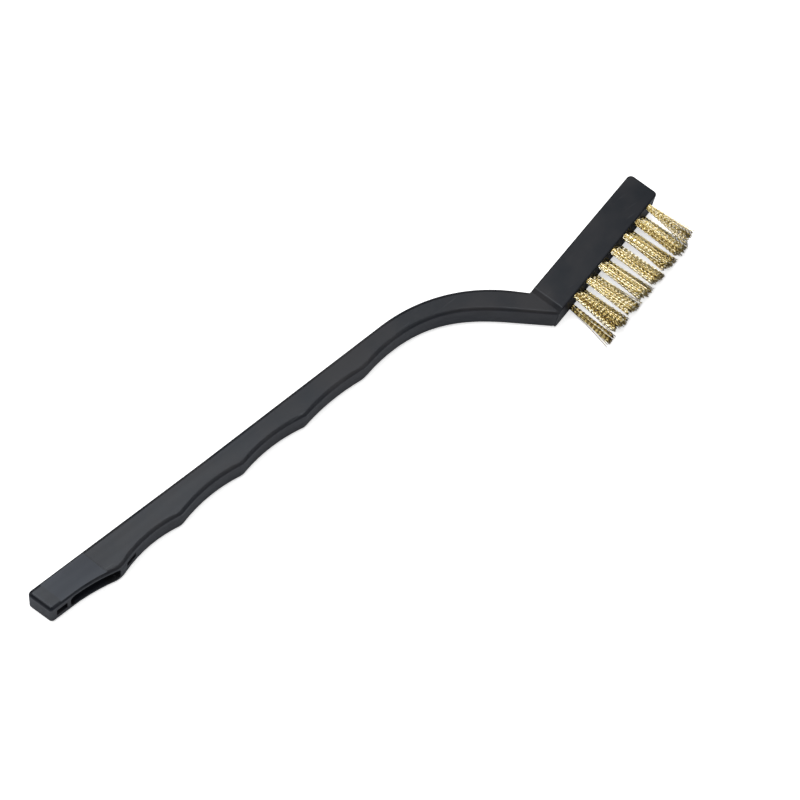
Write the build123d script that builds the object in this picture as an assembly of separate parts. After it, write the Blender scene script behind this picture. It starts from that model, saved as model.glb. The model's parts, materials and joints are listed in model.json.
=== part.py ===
"""Small brass wire brush: a moulded handle whose drilled head holds tufts of brass wire.

Each tuft is a bundle of wires folded in half round a flat metal anchor, and the anchor
is driven into a hole in the head until its ends bite into the plastic.

The model is laid out with +X along the straight grip, from the tail to the head, +Y
towards the back of the brush and Z = 0 on the mid-plane of the moulding. At the end
it is moved so that it lies on Z = 0 with its bounding box centred on X and Y.
All sizes are in millimetres and all angles in degrees.
"""
import os
from math import atan2, cos, radians, sin, tan

from build123d import *

os.makedirs("parts", exist_ok=True)

# --- Back edge of the handle, from the tail to the head ---
GRIP_STRAIGHT = 47.0        # straight stretch from the tail
LIFT_ANGLE = 0.7            # the rest of the grip rises by this much
LIFT_RADIUS = 300.0
GRIP_RISE = 53.4            # rising stretch up to the neck
NECK_RADIUS = 41.4          # outside of the bend
NECK_ANGLE = 45.5           # fall of the neck below the grip
NECK_STRAIGHT = 4.3         # from the end of the bend to the head

# --- Underside of the handle ---
TAIL_DEPTH = 6.75           # back to underside at the tail
TAIL_SLANT = 14.0           # the end face leans this much from square
TAIL_FLAT = 6.0             # level underside next to the tail
FIRST_RIDGE = 20.2          # distance of the first ridge from the tail
LAST_RIDGE = 9.5            # distance of the last ridge from the start of the neck
RIDGE_DEPTHS = [8.5, 7.0, 6.2, 5.98, 5.3]
RIDGE_RADII = [6.0, 4.0, 4.0, 3.0, 10.0]
HOLLOW_RISES = [1.40, 1.12, 1.08, 0.78]     # how far each hollow rises over its chord
NECK_DEPTH_START = 4.75
NECK_DEPTH_END = 5.3
NECK_SPREAD = 2.5           # the underside falls this much less than the back
NECK_PULL_START = 10.7      # handle lengths of the neck's inner curve
NECK_PULL_END = 11.1

# --- Thickness and rounded edges of the handle ---
TAIL_THICKNESS = 8.9
NECK_STEP = 0.8             # the neck is this much lower than the head on each side
EDGE_RADIUS = 0.85
TAIL_END_RADIUS = 1.1       # between the end face and the two sides
NECK_CORNER_RADIUS = 1.5

# --- Tail details ---
SLOT_LENGTH = 13.0
SLOT_WIDTH = 5.6
SLOT_CORNER_RADIUS = 1.5
SLOT_CENTRE = 13.7          # distance from the tail
PANEL_START = 3.5           # shallow panel on each side face
PANEL_LENGTH = 12.1
PANEL_DEPTH = 0.15
PANEL_SLANT = 12.0
POCKETS = [(4.8, 3.0, 3.4, 5.7), (24.0, 3.0, 2.6, 6.6)]     # place, length, width, floor

# --- Head ---
HEAD_ANGLE = 12.5           # the bristle face rises this much from the grip's line
HEAD_LENGTH = 40.1
HEAD_HEIGHT_HEEL = 8.5
HEAD_HEIGHT_TIP = 8.2
HEAD_THICKNESS = 9.5
HEAD_EDGE_RADIUS = 0.4
HEEL_SINK = 0.35            # the head starts this far inside the neck
HEEL_SLOPE = 1.5            # sloping step from the neck up to the head's sides
TIP_BACK_RADIUS = 1.3
TIP_FACE_RADIUS = 0.9
NECK_ROOT_LENGTH = 1.5      # how far the neck runs into the head

# --- Tufts, holes and anchors ---
ROW_MARGIN = 1.35           # from an outer row to the head's side
ROWS = {"upper": (7, 1, 0.0), "middle": (6, 0, 0.5), "lower": (7, -1, 0.0)}
FIRST_TUFT = 6.65           # distance from the heel
LAST_TUFT = 3.8             # distance from the tip
HOLE_RADIUS = 0.875
HOLE_DEPTH = 4.6
ROOT_CLEARANCE = 0.03       # round the bundle in its hole
TUFT_LENGTH = 12.9          # wire standing out of the head
TUFT_TIP_RADIUS = 1.3
TUFT_FOLD = 0.8             # wire beyond the anchor, at the bottom of the hole
TUFT_END_RADIUS = 0.2
ANCHOR_BITE = 0.35          # each end of the anchor sunk in the plastic
ANCHOR_THICKNESS = 0.4
ANCHOR_HEIGHT = 1.6


def heading(angle):
    """Unit vector in the mid-plane at an angle from +X."""
    return Vector(cos(radians(angle)), sin(radians(angle)), 0)


def crossing(point_a, angle_a, point_b, angle_b):
    """Where two lines in the mid-plane cross, each given by a point and an angle."""
    direction_a, direction_b = heading(angle_a), heading(angle_b)
    across = direction_a.X * direction_b.Y - direction_a.Y * direction_b.X
    gap = point_b - point_a
    distance = (gap.X * direction_b.Y - gap.Y * direction_b.X) / across
    return point_a + direction_a * distance


def round_corner(profile, point, radius):
    """Rounds the corner of a flat profile that lies nearest to a point."""
    corner = min(profile.vertices(), key=lambda v: (Vector(*v) - point).length)
    return fillet(corner, radius)


def make_back_edge():
    """The chain of lines and arcs along the back, from the tail to the head."""
    grip = Line((0, 0), (GRIP_STRAIGHT, 0))
    lift = JernArc(grip @ 1, grip % 1, LIFT_RADIUS, LIFT_ANGLE)
    rise = Line(lift @ 1, lift @ 1 + heading(LIFT_ANGLE) * GRIP_RISE)
    bend = JernArc(rise @ 1, rise % 1, NECK_RADIUS, -(LIFT_ANGLE + NECK_ANGLE))
    fall = Line(bend @ 1, bend @ 1 + heading(-NECK_ANGLE) * NECK_STRAIGHT)
    return [grip, lift, rise, bend, fall]


back_edge = make_back_edge()
grip_end = back_edge[3] @ 0         # where the neck starts to bend
bend_end = back_edge[3] @ 1
head_corner = back_edge[4] @ 1      # inner corner between the neck and the head

# The head's own frame: x from heel to tip, y from the bristle face to the back.
head_x = heading(HEAD_ANGLE)
head_y = heading(HEAD_ANGLE + 90)
head_origin = head_corner - head_x * HEEL_SINK - head_y * HEAD_HEIGHT_HEEL
head_frame = Plane(origin=head_origin, x_dir=head_x, z_dir=(0, 0, 1))


def in_head(x, y):
    """A point of the mid-plane given in the head's own frame."""
    return head_origin + head_x * x + head_y * y


tail_foot = Vector(TAIL_DEPTH * tan(radians(TAIL_SLANT)), -TAIL_DEPTH)
flat_end = tail_foot + Vector(TAIL_FLAT, 0)
finger_pitch = (grip_end.X - LAST_RIDGE - FIRST_RIDGE) / (len(RIDGE_DEPTHS) - 1)
ridges = [
    Vector(FIRST_RIDGE + index * finger_pitch, -depth)
    for index, depth in enumerate(RIDGE_DEPTHS)
]
row_spacing = HEAD_THICKNESS / 2 - ROW_MARGIN
tuft_pitch = (HEAD_LENGTH - LAST_TUFT - FIRST_TUFT) / (ROWS["upper"][0] - 1)


def make_underside():
    """The chain along the underside: tail, finger hollows and the inside of the neck."""
    chain = [Line(tail_foot, flat_end), TangentArc(flat_end, ridges[0], tangent=(1, 0))]
    for start, end, rise in zip(ridges, ridges[1:], HOLLOW_RISES):
        chain.append(SagittaArc(start, end, rise))
    neck_start = grip_end + heading(LIFT_ANGLE - 90) * NECK_DEPTH_START
    fall_angle = -NECK_ANGLE + NECK_SPREAD
    neck_end = bend_end + heading(-NECK_ANGLE - 90) * NECK_DEPTH_END
    chain.append(TangentArc(neck_start, ridges[-1], tangent=heading(LIFT_ANGLE + 180)))
    chain.append(
        Bezier(
            neck_start,
            neck_start + heading(LIFT_ANGLE) * NECK_PULL_START,
            neck_end - heading(fall_angle) * NECK_PULL_END,
            neck_end,
        )
    )
    neck_corner = crossing(neck_end, fall_angle, head_origin, HEAD_ANGLE)
    chain.append(Line(neck_end, neck_corner))
    return chain, neck_corner


underside, neck_corner = make_underside()


def make_handle_profile():
    """The flat outline of the grip and neck, with its ridges and neck corner rounded."""
    root_back = in_head(NECK_ROOT_LENGTH, HEAD_HEIGHT_HEEL - HEAD_EDGE_RADIUS / 2)
    root_face = in_head(NECK_ROOT_LENGTH, 0)
    closing = [
        Line(neck_corner, root_face),
        Line(root_face, root_back),
        Line(root_back, head_corner),
        Line(tail_foot, (0, 0)),
    ]
    profile = make_face(Curve() + back_edge + underside + closing)
    profile = round_corner(profile, neck_corner, NECK_CORNER_RADIUS)
    for ridge, radius in zip(ridges, RIDGE_RADII):
        profile = round_corner(profile, ridge, radius)
    return profile


def taper(solid):
    """Thins the handle evenly on both sides, from the tail towards the neck."""
    neck_thickness = HEAD_THICKNESS - 2 * NECK_STEP
    lean = atan2((TAIL_THICKNESS - neck_thickness) / 2, head_origin.X)
    for side in (1, -1):
        face = Plane(origin=(0, 0, side * TAIL_THICKNESS / 2), z_dir=(sin(lean), 0, side * cos(lean)))
        solid = split(solid, bisect_by=face, keep=Keep.BOTTOM)
    return solid


def round_edges(solid):
    """Rounds the tail's end, then the rim all the way round both sides."""
    end_face = solid.faces().sort_by(Axis.X)[0]
    solid = fillet(end_face.edges().filter_by(Axis.Z, reverse=True), TAIL_END_RADIUS)
    end_face = solid.faces().sort_by(Axis.X)[0]
    return fillet(end_face.edges().filter_by(Axis.Z), EDGE_RADIUS)


def side_panel():
    """The slab that leaves a shallow panel in the upper side, up to its slanted ends."""
    lean = Vector(tan(radians(PANEL_SLANT)), -1) * TAIL_DEPTH
    start = Vector(PANEL_START, 0)
    end = Vector(PANEL_START + PANEL_LENGTH, 0)
    outline = Polyline(start - lean, end - lean, end + lean * 2, start + lean * 2, close=True)
    level = TAIL_THICKNESS / 2 - PANEL_DEPTH
    return Pos(0, 0, level) * extrude(make_face(outline), TAIL_THICKNESS)


def cut_tail(solid):
    """Cuts the hanging slot, the small pockets beside it and the two side panels."""
    above = Plane(origin=(SLOT_CENTRE, TAIL_DEPTH, 0), x_dir=(1, 0, 0), z_dir=(0, -1, 0))
    slot = RectangleRounded(SLOT_LENGTH, SLOT_WIDTH, SLOT_CORNER_RADIUS)
    solid -= extrude(above * slot, TAIL_DEPTH * 4)
    for place, length, width, floor in POCKETS:
        pocket = Box(length, TAIL_DEPTH, width, align=(Align.CENTER, Align.MAX, Align.CENTER))
        solid -= Pos(place, -floor, 0) * pocket
    solid -= side_panel()
    solid -= mirror(side_panel(), about=Plane.XY)
    return solid


def make_head_block():
    """The thicker block at the end of the neck, in its place."""
    outline = Polyline(
        (0, 0), (HEAD_LENGTH, 0), (HEAD_LENGTH, HEAD_HEIGHT_TIP), (0, HEAD_HEIGHT_HEEL), close=True
    )
    profile = make_face(outline)
    profile = round_corner(profile, Vector(HEAD_LENGTH, 0), TIP_FACE_RADIUS)
    profile = round_corner(profile, Vector(HEAD_LENGTH, HEAD_HEIGHT_TIP), TIP_BACK_RADIUS)
    block = extrude(profile, HEAD_THICKNESS / 2, both=True)
    lean = atan2(NECK_STEP + HEEL_SINK, HEEL_SLOPE)
    for side in (1, -1):
        top = (HEEL_SLOPE, 0, side * HEAD_THICKNESS / 2)
        step = Plane(origin=top, z_dir=(-sin(lean), 0, side * cos(lean)))
        block = split(block, bisect_by=step, keep=Keep.BOTTOM)
    rims = block.faces().filter_by(Axis.Z).edges()
    return head_frame * fillet(rims, HEAD_EDGE_RADIUS)


def tuft_places():
    """Yields the name of each tuft and the frame of its hole's mouth, with +Z outwards."""
    for row, (count, side, offset) in ROWS.items():
        for index in range(count):
            along = FIRST_TUFT + (index + offset) * tuft_pitch
            mouth = head_frame * Pos(along, 0, side * row_spacing) * Rot(90, 0, 0)
            yield f"{row}_{index + 1}", mouth


def make_tuft():
    """A bundle of wire folded round its anchor, spreading from its hole to the tips."""
    root_radius = HOLE_RADIUS - ROOT_CLEARANCE
    outline = Polyline(
        (0, -HOLE_DEPTH),
        (root_radius, -HOLE_DEPTH),
        (root_radius, 0),
        (TUFT_TIP_RADIUS, TUFT_LENGTH),
        (0, TUFT_LENGTH),
        close=True,
    )
    profile = make_face(Plane.XZ * outline)
    tuft = revolve(profile, Axis.Z)
    tuft = fillet(tuft.edges().filter_by(GeomType.CIRCLE).sort_by(Axis.Z)[-1], TUFT_END_RADIUS)
    return tuft - make_anchor()


def make_anchor():
    """The flat strip that the wires are folded round, a little wider than the hole."""
    length = 2 * (HOLE_RADIUS + ANCHOR_BITE)
    strip = Box(length, ANCHOR_THICKNESS, ANCHOR_HEIGHT, align=(Align.CENTER, Align.CENTER, Align.MIN))
    return Pos(0, 0, TUFT_FOLD - HOLE_DEPTH) * strip


def drill(solid):
    """Cuts the holes of all the tufts, with the seats of their anchors."""
    hole = Cylinder(HOLE_RADIUS, HOLE_DEPTH, align=(Align.CENTER, Align.CENTER, Align.MAX))
    cutter = hole + make_anchor()
    return solid - [mouth * cutter for _, mouth in tuft_places()]


def make_handle():
    """The whole moulding: grip, neck and drilled head."""
    grip = extrude(make_handle_profile(), TAIL_THICKNESS / 2, both=True)
    grip = cut_tail(round_edges(taper(grip)))
    return drill(grip + make_head_block())


pieces = {"handle": make_handle()}
for name, mouth in tuft_places():
    pieces[f"tuft_{name}"] = mouth * make_tuft()
    pieces[f"anchor_{name}"] = mouth * make_anchor()

box = Compound([solid for piece in pieces.values() for solid in piece.solids()]).bounding_box()
to_origin = Pos(-box.center().X, -box.center().Y, -box.min.Z)
for node, piece in pieces.items():
    export_step(to_origin * piece, f"parts/{node}.step")

print("size", box.size, "moved by", to_origin.position)
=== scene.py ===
# %% [markdown]
# This lesson dresses a small wire brush, the kind kept on an electronics bench for
# cleaning tips and terminals. CAD has settled its shapes and sizes: one moulded handle,
# twenty tufts, and the twenty metal anchors that hold them. Blender adds what CAD leaves
# plain: the separate wires of each tuft, the finish of every surface, and the light.
# Loading the CAD model first gives a fixed frame in metres, so each new piece takes its
# place from the model and nothing has to be fitted by eye.

# %% Load the frame
import json
import math
import random

import bmesh
import bpy
from mathutils import Matrix, Vector


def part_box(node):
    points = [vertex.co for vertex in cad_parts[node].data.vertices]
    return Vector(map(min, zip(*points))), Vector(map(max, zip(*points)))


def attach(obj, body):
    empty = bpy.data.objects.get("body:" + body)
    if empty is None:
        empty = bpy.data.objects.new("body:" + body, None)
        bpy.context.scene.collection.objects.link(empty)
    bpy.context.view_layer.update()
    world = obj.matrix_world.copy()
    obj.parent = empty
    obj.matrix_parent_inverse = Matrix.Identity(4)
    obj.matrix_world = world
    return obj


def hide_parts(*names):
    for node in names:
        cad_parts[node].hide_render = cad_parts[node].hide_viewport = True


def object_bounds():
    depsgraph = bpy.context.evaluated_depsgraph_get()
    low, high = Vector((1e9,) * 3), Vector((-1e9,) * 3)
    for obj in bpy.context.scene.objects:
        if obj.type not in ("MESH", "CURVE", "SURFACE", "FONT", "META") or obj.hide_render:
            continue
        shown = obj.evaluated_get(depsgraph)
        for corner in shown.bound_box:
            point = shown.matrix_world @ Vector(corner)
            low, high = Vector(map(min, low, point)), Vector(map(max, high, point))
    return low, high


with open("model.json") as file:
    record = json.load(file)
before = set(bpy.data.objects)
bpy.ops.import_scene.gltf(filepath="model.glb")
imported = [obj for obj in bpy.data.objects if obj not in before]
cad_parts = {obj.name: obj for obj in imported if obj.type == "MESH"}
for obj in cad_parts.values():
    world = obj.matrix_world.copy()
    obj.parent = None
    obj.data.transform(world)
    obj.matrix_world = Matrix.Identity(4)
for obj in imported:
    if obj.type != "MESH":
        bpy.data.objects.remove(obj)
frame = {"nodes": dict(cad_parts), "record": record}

MM = 0.001
cad_low, cad_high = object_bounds()
centre = (cad_low + cad_high) / 2
nodes = frame["nodes"]
print("CAD box in mm:", [round(side / MM, 2) for side in cad_high - cad_low])

# %% [markdown]
# The camera comes before the pieces, because it decides which details will be seen.
# A long lens well above, tilted a little off straight down, suits a small tool that
# lies on a table: the near parts hardly grow, so its proportions stay true. The camera
# is turned about its own view, which lays the brush from corner to corner of the frame.
# It could be aimed by a constraint, but three directions written out as a matrix show
# plainly what tilt, heading and roll each do.

# %% Place the camera
LENS = 134.26
SENSOR = 36.0
CAMERA_DISTANCE = 691 * MM
TILT = math.radians(22.26)
HEADING = math.radians(37.61)
ROLL = math.radians(13.01)
AIM = centre + Vector((7.41, 1.50, 0)) * MM
NEAR_CLIP, FAR_CLIP = 0.05, 20

ahead = Vector((math.cos(HEADING), math.sin(HEADING), 0))
look = ahead * math.sin(TILT) - Vector((0, 0, math.cos(TILT)))
right = ahead.cross(Vector((0, 0, 1)))
up = right.cross(look)
camera_x = right * math.cos(ROLL) + up * math.sin(ROLL)
camera_y = up * math.cos(ROLL) - right * math.sin(ROLL)

camera_data = bpy.data.cameras.new("studio_camera")
camera_data.lens = LENS
camera_data.sensor_width = SENSOR
camera_data.clip_start, camera_data.clip_end = NEAR_CLIP, FAR_CLIP
camera = bpy.data.objects.new("studio_camera", camera_data)
bpy.context.scene.collection.objects.link(camera)
camera.rotation_mode = "QUATERNION"
camera.rotation_quaternion = Matrix((camera_x, camera_y, -look)).transposed().to_quaternion()
camera.location = AIM - look * CAMERA_DISTANCE
bpy.context.scene.camera = camera
print("camera stands at", [round(c, 3) for c in camera.location], "in metres")

# %% [markdown]
# Every finish below is made of a few patterns read from Object coordinates, so it stays
# put on the piece from every side. Patterns measured in the piece's own size would
# stretch on a long handle, while Object coordinates are in metres, so a grain of a
# fifth of a millimetre is simply one that repeats 5000 times in a metre. These small
# helpers add one or two nodes each and keep the recipes short. Nearly every value of a
# noise lies between 0.3 and 0.7, so the recipes stretch that range and not 0 to 1.

# %% Helpers for the finishes
def new_finish(name, **values):
    """A material with a Principled shader whose constant values are set on its sockets."""
    material = bpy.data.materials.new(name)
    material.use_nodes = True
    shader = material.node_tree.nodes["Principled BSDF"]
    for socket, value in values.items():
        shader.inputs[socket.replace("_", " ")].default_value = value
    return material, material.node_tree, shader


def feed(tree, socket, value):
    """Links a socket to another node's output, or gives it a plain value."""
    if isinstance(value, bpy.types.NodeSocket):
        tree.links.new(value, socket)
    else:
        socket.default_value = value


def add(tree, kind, settings=None, **inputs):
    """One node. Its inputs go by name, such as Scale, or by number, such as n0."""
    node = tree.nodes.new(kind)
    for key, value in (settings or {}).items():
        setattr(node, key, value)
    for key, value in inputs.items():
        numbered = key[0] == "n" and key[1:].isdigit()
        feed(tree, node.inputs[int(key[1:]) if numbered else key.replace("_", " ")], value)
    return node


def maths(tree, operation, first, second=0.0):
    """Works out one value from two, point by point."""
    return add(tree, "ShaderNodeMath", {"operation": operation}, n0=first, n1=second).outputs[0]


def grain(tree, place, repeats, detail=2.0, stretch=(1, 1, 1)):
    """A noise that repeats so many times in a metre, longer where stretch is below 1."""
    spot = add(tree, "ShaderNodeMapping", Vector=place, Scale=stretch).outputs["Vector"]
    return add(tree, "ShaderNodeTexNoise", Vector=spot, Scale=repeats, Detail=detail).outputs["Fac"]


def between(tree, value, low, high, new_low=0.0, new_high=1.0):
    """Turns the range low to high into another, smoothly, and holds it at the ends."""
    smooth = {"interpolation_type": "SMOOTHSTEP"}
    return add(tree, "ShaderNodeMapRange", smooth, n0=value, n1=low, n2=high,
               n3=new_low, n4=new_high).outputs["Result"]


def blend_colour(tree, amount, first, second):
    """Goes from the first colour to the second as the amount goes from 0 to 1."""
    return add(tree, "ShaderNodeMix", {"data_type": "RGBA"},
               n0=amount, n6=first, n7=second).outputs[2]


def raised(tree, height, strength, depth):
    """Turns a pattern into fine relief, so many metres deep."""
    bump = add(tree, "ShaderNodeBump", Height=height, Strength=strength, Distance=depth)
    return bump.outputs["Normal"]


def give_finish(node, finish):
    """Dresses a CAD piece without touching its mesh."""
    for material_slot in node.material_slots:
        material_slot.material = finish


helpers = (add, maths, grain, between, blend_colour, raised, give_finish)
print("finish helpers:", [helper.__name__ for helper in helpers])

# %% [markdown]
# The handle and head are one moulding in black plastic. Such a mould is etched, so the
# surface has a grain of about a fifth of a millimetre that turns a mirror into a satin.
# The plastic also flows along the handle as the mould fills, which leaves very faint
# long streaks, and hands and benches polish its rounded edges. The edges could be found
# with a bevel or cavity pattern, but on a part that lies flat the upright share of the
# surface normal already tells a flat side from a rounded edge, and it bakes cleanly.

# %% Satin black moulded plastic
BLACK = (0.0040, 0.0056, 0.0088, 1)
CHARCOAL = (0.0205, 0.0190, 0.0200, 1)
SCUFF = (0.05, 0.053, 0.058, 1)
COOL_GLOSS = (0.87, 0.93, 1.0, 1)
PANEL_SHEEN_BLUE = (0.012, 0.015, 0.024, 1)
ETCHING, CLOUDS, STREAKS, SCRATCHES, RUBS = 5200, 70, 420, 900, 260     # repeats in a metre

plastic, tree, shader = new_finish("satin_black_plastic", Specular_IOR_Level=0.30, IOR=1.5,
                                   Specular_Tint=COOL_GLOSS)
place = add(tree, "ShaderNodeTexCoord").outputs["Object"]
normal = add(tree, "ShaderNodeNewGeometry").outputs["Normal"]
upright = maths(tree, "ABSOLUTE", add(tree, "ShaderNodeSeparateXYZ", Vector=normal).outputs["Z"])

etched = grain(tree, place, ETCHING, 2.0)
clouds = grain(tree, place, CLOUDS, 4.0)
streaks = grain(tree, place, STREAKS, 3.0, stretch=(0.08, 1, 1))
scratches = grain(tree, place, SCRATCHES, 4.0, stretch=(0.12, 1, 0.6))
scratches = between(tree, scratches, 0.66, 0.74)
edge = maths(tree, "MULTIPLY", between(tree, upright, 0.15, 0.45),
             between(tree, upright, 0.75, 0.97, 1.0, 0.0))
worn = maths(tree, "MULTIPLY", edge, between(tree, grain(tree, place, RUBS, 5.0), 0.5, 0.68))

# %% [markdown]
# The shallow panel at the tail is moulded against a separate insert, so its face is more
# even and smoother, and catches more light. That sheen is painted: the panel's colour is
# made a little lighter and bluer than the grip's. It could be a piece with a material of
# its own, but it is only a part of the moulding's skin, so it is found by its place: two
# slanted lines across the tail, measured from the hanging slot that the record gives.

# %% The panel at the tail
PANEL_START, PANEL_END = -9.49 * MM, 2.61 * MM          # along the handle, from the slot
PANEL_SLANT = math.tan(math.radians(12))
PANEL_BORDER = 0.4 * MM

mounts = {mount["name"]: Vector(mount["pos_m"]) for mount in frame["record"]["mounts"]}
hang_slot = mounts["hang_slot"]
spot = add(tree, "ShaderNodeSeparateXYZ", Vector=place).outputs
from_slot = maths(tree, "ADD", spot["X"], maths(tree, "MULTIPLY", spot["Y"], PANEL_SLANT))
from_slot = maths(tree, "SUBTRACT", from_slot, hang_slot.x + hang_slot.y * PANEL_SLANT)
begun = between(tree, from_slot, PANEL_START, PANEL_START + PANEL_BORDER)
ended = between(tree, from_slot, PANEL_END - PANEL_BORDER, PANEL_END, 1.0, 0.0)
panel = maths(tree, "MULTIPLY", begun, ended)
panel = maths(tree, "MULTIPLY", panel, between(tree, upright, 0.97, 0.99))
print("panel is", round((PANEL_END - PANEL_START) / MM, 1), "mm long")

# %% [markdown]
# The patterns now go to the three sockets that they change: the colour, where scratches
# and worn edges are paler; the roughness, where streaks and clouds break up the gloss;
# and the relief. Gloss that is the same all over stays a plain value on the shader.

# %% Dress the handle
colour = blend_colour(tree, between(tree, clouds, 0.3, 0.7), BLACK, CHARCOAL)
colour = blend_colour(tree, maths(tree, "MULTIPLY", scratches, 0.25), colour, SCUFF)
colour = blend_colour(tree, maths(tree, "MULTIPLY", worn, 0.15), colour, SCUFF)
# Painted sheen: the tail panel's colour is made lighter and bluer than the grip's.
colour = blend_colour(tree, maths(tree, "MULTIPLY", panel, 0.6), colour, PANEL_SHEEN_BLUE)
tree.links.new(colour, shader.inputs["Base Color"])

dullness = maths(tree, "ADD", between(tree, streaks, 0.3, 0.7, 0.36, 0.42),
                 between(tree, clouds, 0.3, 0.7, 0.0, 0.07))
dullness = maths(tree, "SUBTRACT", dullness, maths(tree, "MULTIPLY", edge, 0.05))
tree.links.new(dullness, shader.inputs["Roughness"])

relief = maths(tree, "ADD", etched, maths(tree, "MULTIPLY", streaks, 0.6))
tree.links.new(raised(tree, relief, 0.35, 0.03 * MM), shader.inputs["Normal"])

give_finish(nodes["handle"], plastic)
print("handle finish has", len(tree.nodes), "nodes")

# %% [markdown]
# Each tuft is held by an anchor, a short strip of brass driven into the hole across the
# fold of the wires. Almost none of it shows, but it is a real piece, so it gets a real
# finish: rolled strip, with fine lines along its rolling direction and a slight brown
# tarnish. Metal takes its colour in its reflections, so the metallic value is full.

# %% Rolled brass strip
STRIP_BRIGHT = (0.72, 0.55, 0.27, 1)
STRIP_DULL = (0.42, 0.28, 0.11, 1)
ROLLING_LINES, TARNISH_SPOTS = 9000, 1400               # repeats in a metre

strip, tree, shader = new_finish("rolled_brass_strip", Metallic=1.0)
place = add(tree, "ShaderNodeTexCoord").outputs["Object"]
rolling = grain(tree, place, ROLLING_LINES, 3.0, stretch=(1, 1, 0.06))
browning = grain(tree, place, TARNISH_SPOTS, 4.0)
colour = blend_colour(tree, between(tree, browning, 0.4, 0.7), STRIP_BRIGHT, STRIP_DULL)
tree.links.new(colour, shader.inputs["Base Color"])
tree.links.new(between(tree, rolling, 0.3, 0.7, 0.28, 0.46), shader.inputs["Roughness"])
tree.links.new(raised(tree, rolling, 0.3, 0.01 * MM), shader.inputs["Normal"])

anchors = sorted(name for name in nodes if name.startswith("anchor_"))
for name in anchors:
    give_finish(nodes[name], strip)
print(len(anchors), "anchors have their finish")

# %% [markdown]
# The wires are hard drawn brass. No two are alike: some are freshly cut and pale, some
# have browned, and the ones in the middle of a bunch get painted shade in their colour.
# The wires of a tuft are one mesh, so a single value on each point, set while the tuft is
# made, tells the finish how bright that wire is there, painted light and shade included.
# An image could do this too, but a value on the point costs nothing and follows every bend.

# %% Drawn brass wire
TONE_AND_LIGHT_ATTRIBUTE = "wire_tone_and_painted_light"
WIRE_BROWN = (0.11, 0.062, 0.012, 1)
WIRE_GOLD = (0.54, 0.43, 0.17, 1)
WIRE_PALE = (1.0, 0.95, 0.76, 1)
TONE_SPOTS, DRAWN_MARKS = 2600, 7000                    # repeats in a metre
SPOT_DEPTH = 0.22

wire_finish, tree, shader = new_finish("drawn_brass_wire", Metallic=1.0)
place = add(tree, "ShaderNodeTexCoord").outputs["Object"]
tone_and_painted_light = add(tree, "ShaderNodeAttribute", {"attribute_name": TONE_AND_LIGHT_ATTRIBUTE}).outputs["Fac"]
spots = grain(tree, place, TONE_SPOTS, 3.0)
drawn = grain(tree, place, DRAWN_MARKS, 2.0)
tone_and_painted_light = maths(tree, "ADD", tone_and_painted_light, between(tree, spots, 0.35, 0.65, -SPOT_DEPTH, SPOT_DEPTH))
# The tone value holds each wire's own tone plus painted shade on the inner wires and painted
# highlight and shade along the crimp.
colour = blend_colour(tree, between(tree, tone_and_painted_light, 0.0, 0.5), WIRE_BROWN, WIRE_GOLD)
colour = blend_colour(tree, between(tree, tone_and_painted_light, 0.5, 1.0), colour, WIRE_PALE)
tree.links.new(colour, shader.inputs["Base Color"])
tree.links.new(between(tree, drawn, 0.3, 0.7, 0.14, 0.26), shader.inputs["Roughness"])
tree.links.new(raised(tree, drawn, 0.25, 0.01 * MM), shader.inputs["Normal"])
print("wire finish has", len(tree.nodes), "nodes")

# %% [markdown]
# A tuft is a bunch of thin wires folded in half and punched into its hole. The wire is
# crimped into small waves before it is cut, which keeps the bunch open and springy and
# gives a wire brush its sparkle. A plain tapered solid with a hair-like pattern on it
# would look right only from far away, so every wire is real. Because there are several
# hundred, one wire has only three sides: a straight prism, cut into short lengths so
# that it can be bent. Smooth shading makes it read as round.

# %% One straight wire
WIRE_RADIUS = 0.1 * MM
WIRE_SIDES = 3
WIRE_LENGTHS = 24


def make_straight_wire():
    """A prism one unit high, from its root at 0 to its tip at 1."""
    shape = bmesh.new()
    bmesh.ops.create_cone(shape, cap_ends=True, segments=WIRE_SIDES, radius1=WIRE_RADIUS,
                          radius2=WIRE_RADIUS, depth=1.0)
    bmesh.ops.translate(shape, verts=shape.verts, vec=(0, 0, 0.5))
    long_edges = [edge for edge in shape.edges if edge.calc_length() > 0.5]
    bmesh.ops.subdivide_edges(shape, edges=long_edges, cuts=WIRE_LENGTHS - 1, use_grid_fill=True)
    for face in shape.faces:
        face.smooth = len(face.verts) == 4
    mesh = bpy.data.meshes.new("straight_wire")
    shape.to_mesh(mesh)
    shape.free()
    return mesh


straight_wire = make_straight_wire()
print("one wire has", len(straight_wire.polygons), "faces")

# %% [markdown]
# The head is turned a little against the handle, so a tuft has its own directions: out
# of the hole, along the head, and across the three rows. Each anchor sits at the same
# depth in its hole, so the line through the first and last anchors of a row gives the
# direction along the head, and the hole's mouth is a known step out from the anchor.

# %% Where the tufts stand
ANCHOR_TO_MOUTH = 3.0 * MM
ROWS = {"upper": 7, "middle": 6, "lower": 7}


def middle_of(name):
    """The middle of a CAD piece's box."""
    low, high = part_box(name)
    return (low + high) / 2


along = (middle_of("anchor_upper_7") - middle_of("anchor_upper_1")).normalized()
across = Vector((0, 0, 1))
outward = along.cross(across)
print("tufts point along", [round(c, 3) for c in outward])

# %% [markdown]
# No two wires in a bunch are alike. Their roots fill the hole in a sunflower pattern,
# the simplest even packing of a circle, and each wire then draws its own depth, spread,
# length, crimp and brightness. The outer wires are rubbed more and get painted light, the
# inner ones painted shade, and a few wires in each tuft go astray. Everything random comes
# from a seed made of the tuft's name, so the same brush grows each time.

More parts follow.
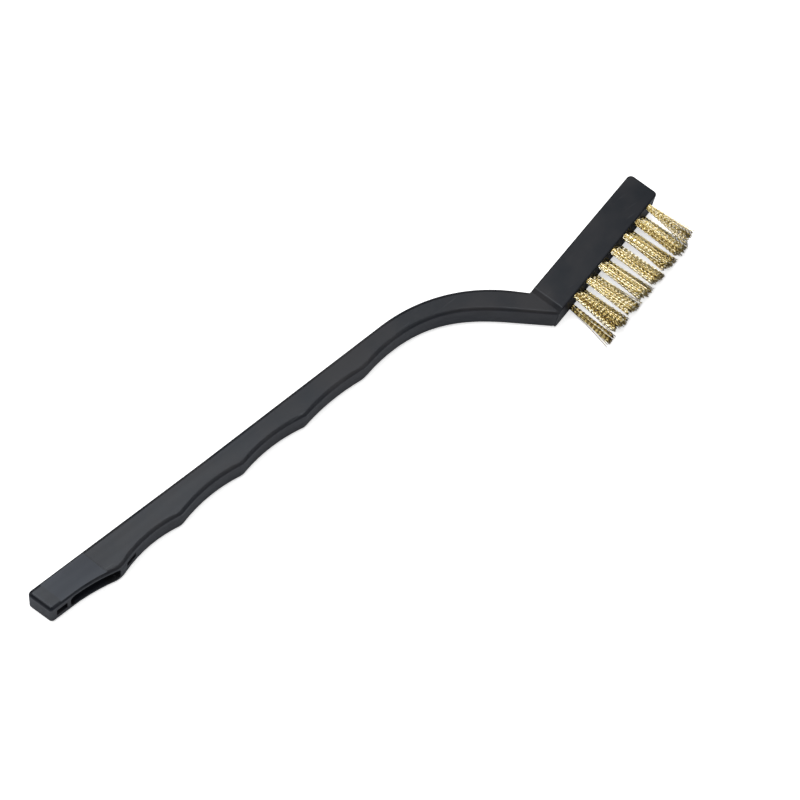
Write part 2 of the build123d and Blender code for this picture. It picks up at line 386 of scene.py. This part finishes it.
# %% Choose how a wire differs
WIRES = 44
REACH = 12.8 * MM
LENGTH_SCATTER = 0.42 * MM
ROOT_DEPTH = 2.6 * MM
BUNCH_RADIUS = 0.75 * MM
CRIMP_HEIGHT = 0.15 * MM
CRIMP_SCATTER = 0.55
STRAY_SHARE = 0.08
STRAY_DRIFT, USUAL_DRIFT = 0.75 * MM, 0.17 * MM
INNER_SHADED_TONE, OUTER_LIGHT_AND_WEAR_GAIN = 0.15, 0.8
GOLDEN_ANGLE = math.pi * (3 - math.sqrt(5))


def choose_wire(chance, number, crimp_plane, spread, browning):
    """The choices that make one wire differ from the next."""
    share = math.sqrt((number + 0.5) / WIRES)       # 0 in the middle of the bunch, 1 outside
    turn = number * GOLDEN_ANGLE
    drift = STRAY_DRIFT if chance.random() < STRAY_SHARE else USUAL_DRIFT
    return {
        "root": Vector((math.cos(turn), math.sin(turn))) * BUNCH_RADIUS * share,
        "depth": ROOT_DEPTH * chance.uniform(0.8, 1.0),
        "spread": spread * chance.uniform(0.6, 1.15),
        "drift": Vector([chance.gauss(0, drift) for _ in range(2)]),
        "length": REACH - abs(chance.gauss(0, LENGTH_SCATTER)),
        "height": CRIMP_HEIGHT * chance.uniform(0.7, 1.3) * chance.choice((1, 1, -1)),
        "plane": crimp_plane + chance.gauss(0, CRIMP_SCATTER),
        # Painted shade on the wires in the middle of the bunch, painted light and rubbing on the
        # outer ones.
        "tone_and_painted_light": (INNER_SHADED_TONE + OUTER_LIGHT_AND_WEAR_GAIN * share ** 2) * chance.betavariate(1.1, 1.0) - browning,
    }


print(sum(ROWS.values()), "tufts of", WIRES, "wire ends")

# %% [markdown]
# To bend a wire, each of its points is moved off the straight line by four small
# amounts: the spread of the bunch and the wire's own drift, which grow towards the
# tips, a lean where the whole tuft was pushed over, and the crimp, which steps the wire
# to one side and the other in its own plane. The crests on the outside of the bunch get
# a painted highlight in their colour, and the hollows between them painted shade. A curve
# with a bevel could be bent the same way, but it has no value on each point for that.

# %% Bend one wire
FIRST_RING = 0.999              # just under 1, so the first ring stands a hair outside the hole
CRIMP_START = 8                 # the crimp is full after an eighth of the reach
FAN_CURVE, DRIFT_CURVE = 1.3, 1.6
SIDE_LIMIT = 1.3 * MM           # how far a wire may stand out of its own row
CREST_GLINT, HOLLOW_SHADE = 0.34, -0.26


def bend(point, wire, mouth, lean):
    """The place of a point on the bent wire, and the painted light of the crimp there: highlight on
    a crest, shade in a hollow.
    """
    ring = round(point.z * WIRE_LENGTHS)
    out = -wire["depth"]
    if ring:                                        # the first length lies in the hole
        out = wire["length"] * (ring - FIRST_RING) / (WIRE_LENGTHS - 1)
    free = max(out, 0) / REACH
    swing = Vector((math.cos(wire["plane"]), math.sin(wire["plane"])))
    crimp = swing * wire["height"] * min(free * CRIMP_START, 1) * (-1) ** ring
    fan = wire["root"] * (1 + wire["spread"] * free ** FAN_CURVE)
    aside = fan + wire["drift"] * free ** DRIFT_CURVE + crimp + Vector((lean * free, 0))
    # Painted highlight on crests that bulge out of the bunch, painted shade in the hollows.
    glint = CREST_GLINT if crimp.dot(wire["root"]) > 0 else HOLLOW_SHADE
    upward = max(-SIDE_LIMIT, min(SIDE_LIMIT, aside.y + point.y))
    return mouth + along * (aside.x + point.x) + across * upward + outward * out, glint


sample = choose_wire(random.Random("sample"), 0, 0.0, 0.0, 0.0)
tip, glint = bend(Vector((0, 0, 1)), sample, Vector((0, 0, 0)), 0.0)
print("a wire reaches", round(tip.dot(outward) / MM, 2), "mm out of its hole")

# %% [markdown]
# One tuft is one mesh: 44 copies of the straight wire, each bent in turn. Separate
# objects would be easier to pick, but there would be hundreds of them, and a tuft is
# what the machine makes and what the CAD model names. The wires of a tuft are crimped
# together, so their waves lie roughly in one plane, which differs from tuft to tuft.

# %% Grow one tuft
PLANE_SWING = 0.9


def grow_tuft(name, mouth, lean, spread, browning):
    """A bunch of bent wires that stands in the hole at mouth."""
    chance = random.Random(name)
    crimp_plane = math.pi / 2 + chance.uniform(-PLANE_SWING, PLANE_SWING)
    shape = bmesh.new()
    tone_and_painted_light = shape.verts.layers.float.new(TONE_AND_LIGHT_ATTRIBUTE)
    for number in range(WIRES):
        wire = choose_wire(chance, number, crimp_plane, spread, browning)
        grown = len(shape.verts)
        shape.from_mesh(straight_wire)
        shape.verts.ensure_lookup_table()
        for vert in shape.verts[grown:]:
            vert.co, glint = bend(vert.co.copy(), wire, mouth, lean)
            vert[tone_and_painted_light] = wire["tone_and_painted_light"] + glint
    bmesh.ops.recalc_face_normals(shape, faces=shape.faces)
    mesh = bpy.data.meshes.new(name)
    shape.to_mesh(mesh)
    shape.free()
    piece = bpy.data.objects.new(name, mesh)
    bpy.context.scene.collection.objects.link(piece)
    mesh.materials.append(wire_finish)
    return piece


print("a tuft has", WIRES * len(straight_wire.polygons), "faces")

# %% [markdown]
# Now every tuft grows in its own hole and takes the place of its plain CAD solid, which
# stays behind for collision. The first tufts of the outer rows were pushed a little
# towards the handle when the brush was filled, and their wires are made darker and
# browner than the rest. The last ones, with no neighbour beyond them, have splayed into
# fans.

# %% Fill the head
FIRST_LEAN, LAST_LEAN = -0.95 * MM, -0.45 * MM
USUAL_SPREAD, LAST_SPREAD = 0.72, 1.9
FIRST_TUFT_DARKENING = 0.12

for row, count in ROWS.items():
    for place_in_row in range(1, count + 1):
        lean, spread, browning = 0.0, USUAL_SPREAD, 0.0
        if row != "middle" and place_in_row == 1:
            lean, browning = FIRST_LEAN, FIRST_TUFT_DARKENING
        if row != "middle" and place_in_row == count:
            lean, spread = LAST_LEAN, LAST_SPREAD
        anchor = middle_of(f"anchor_{row}_{place_in_row}")
        name = f"wires_{row}_{place_in_row}"
        piece = grow_tuft(name, anchor + outward * ANCHOR_TO_MOUTH, lean, spread, browning)
        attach(piece, "root")
        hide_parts(f"tuft_{row}_{place_in_row}")
    print(row, "row:", count, "tufts")
bpy.data.meshes.remove(straight_wire)

# %% [markdown]
# A small dark tool is shown on a plain pale sheet with only the faintest paper grain,
# because a busy floor would draw the eye away from the piece. A studio lights such a
# sheet on its own, so that it stays white and the shadow stays faint, and keeps its
# glare off the piece. The Light Path node does both here: the camera sees the sheet with
# a little light of its own, while the brush gets back only a part of the light that
# falls on it, slightly cooled. Raising the brush on glass would do the same in a studio.

# %% Pale floor
FLOOR_HALF = 0.7
FLOOR_GAP = 0.05 * MM
PAPER_GLOW = 0.60
PAPER_BOUNCE = (0.44, 0.46, 0.50, 1)
PAPER_DARK, PAPER_LIGHT = (0.88, 0.88, 0.88, 1), (0.91, 0.91, 0.91, 1)
PAPER_FIBRES = 900                                      # repeats in a metre

paper, tree, shader = new_finish("pale_paper", Roughness=0.85, Specular_IOR_Level=0.2,
                                 Emission_Color=(1, 1, 1, 1))
place = add(tree, "ShaderNodeTexCoord").outputs["Object"]
seen = add(tree, "ShaderNodeLightPath").outputs["Is Camera Ray"]
fibres = grain(tree, place, PAPER_FIBRES, 3.0)
colour = blend_colour(tree, fibres, PAPER_DARK, PAPER_LIGHT)
tree.links.new(blend_colour(tree, seen, PAPER_BOUNCE, colour), shader.inputs["Base Color"])
tree.links.new(maths(tree, "MULTIPLY", seen, PAPER_GLOW), shader.inputs["Emission Strength"])
tree.links.new(raised(tree, fibres, 0.1, 0.02 * MM), shader.inputs["Normal"])

shape = bmesh.new()
bmesh.ops.create_grid(shape, x_segments=1, y_segments=1, size=FLOOR_HALF)
bmesh.ops.translate(shape, verts=shape.verts, vec=(0, 0, cad_low.z - FLOOR_GAP))
floor_mesh = bpy.data.meshes.new("floor")
shape.to_mesh(floor_mesh)
shape.free()
floor_mesh.materials.append(paper)
floor = bpy.data.objects.new("floor", floor_mesh)
bpy.context.scene.collection.objects.link(floor)
print("floor is", 2 * FLOOR_HALF, "m wide")

# %% [markdown]
# Black plastic has almost no colour of its own: what is seen is what it reflects. One
# large soft light hangs overhead, on the side away from the camera, where the flat side
# of the handle mirrors it, and stops short of where the head would, so the handle is a
# soft grey that deepens towards the head. The rounded edges mirror the dimmer room
# instead, and stay dark, which draws the outline. A second, weaker light from the wires'
# side opens them up.

# %% Soft studio light
def hang_softbox(name, where, aim, size, power):
    """A soft rectangular lamp that faces its aim, with its sides in metres and power in watts."""
    lamp = bpy.data.lights.new(name, "AREA")
    lamp.shape, lamp.energy = "RECTANGLE", power
    lamp.size, lamp.size_y = size
    box = bpy.data.objects.new(name, lamp)
    bpy.context.scene.collection.objects.link(box)
    box.location = where
    box.rotation_mode = "QUATERNION"
    box.rotation_quaternion = (aim - where).to_track_quat("-Z", "Y")


UNDER_THE_LIGHT = Vector((-0.21, 0.24, 0))
CEILING = Vector((0, 0, 1.0))
hang_softbox("overhead_softbox", UNDER_THE_LIGHT + CEILING, UNDER_THE_LIGHT, (1.0, 0.75), 12.8)
hang_softbox("front_softbox", Vector((0.35, -0.9, 0.75)), centre, (0.8, 0.8), 2.0)

# %% [markdown]
# The room round the table gives an even, dim white light from everywhere, which fills
# the shadows a little. Where the camera sees past the sheet, though, the room has to be
# as white as the sheet, or a horizon would show. A huge backdrop would hide it too, but
# it would throw light of its own. So the Light Path node picks one of two plain colours.

# %% The room
ROOM_LIGHT, ROOM_SEEN = 0.15, 1.0
WHITE = (1, 1, 1, 1)

room = bpy.data.worlds.new("room")
room.use_nodes = True
tree = room.node_tree
bright = tree.nodes["Background"]
feed(tree, bright.inputs["Color"], WHITE)
feed(tree, bright.inputs["Strength"], ROOM_SEEN)
dim = add(tree, "ShaderNodeBackground", Color=WHITE, Strength=ROOM_LIGHT)
seen = add(tree, "ShaderNodeLightPath").outputs["Is Camera Ray"]
both = add(tree, "ShaderNodeMixShader", n0=seen, n1=dim.outputs[0], n2=bright.outputs[0])
tree.links.new(both.outputs[0], tree.nodes["World Output"].inputs["Surface"])
bpy.context.scene.world = room
bpy.context.scene.view_settings.view_transform = "Standard"
print("room light is", ROOM_LIGHT, "and the camera sees", ROOM_SEEN)
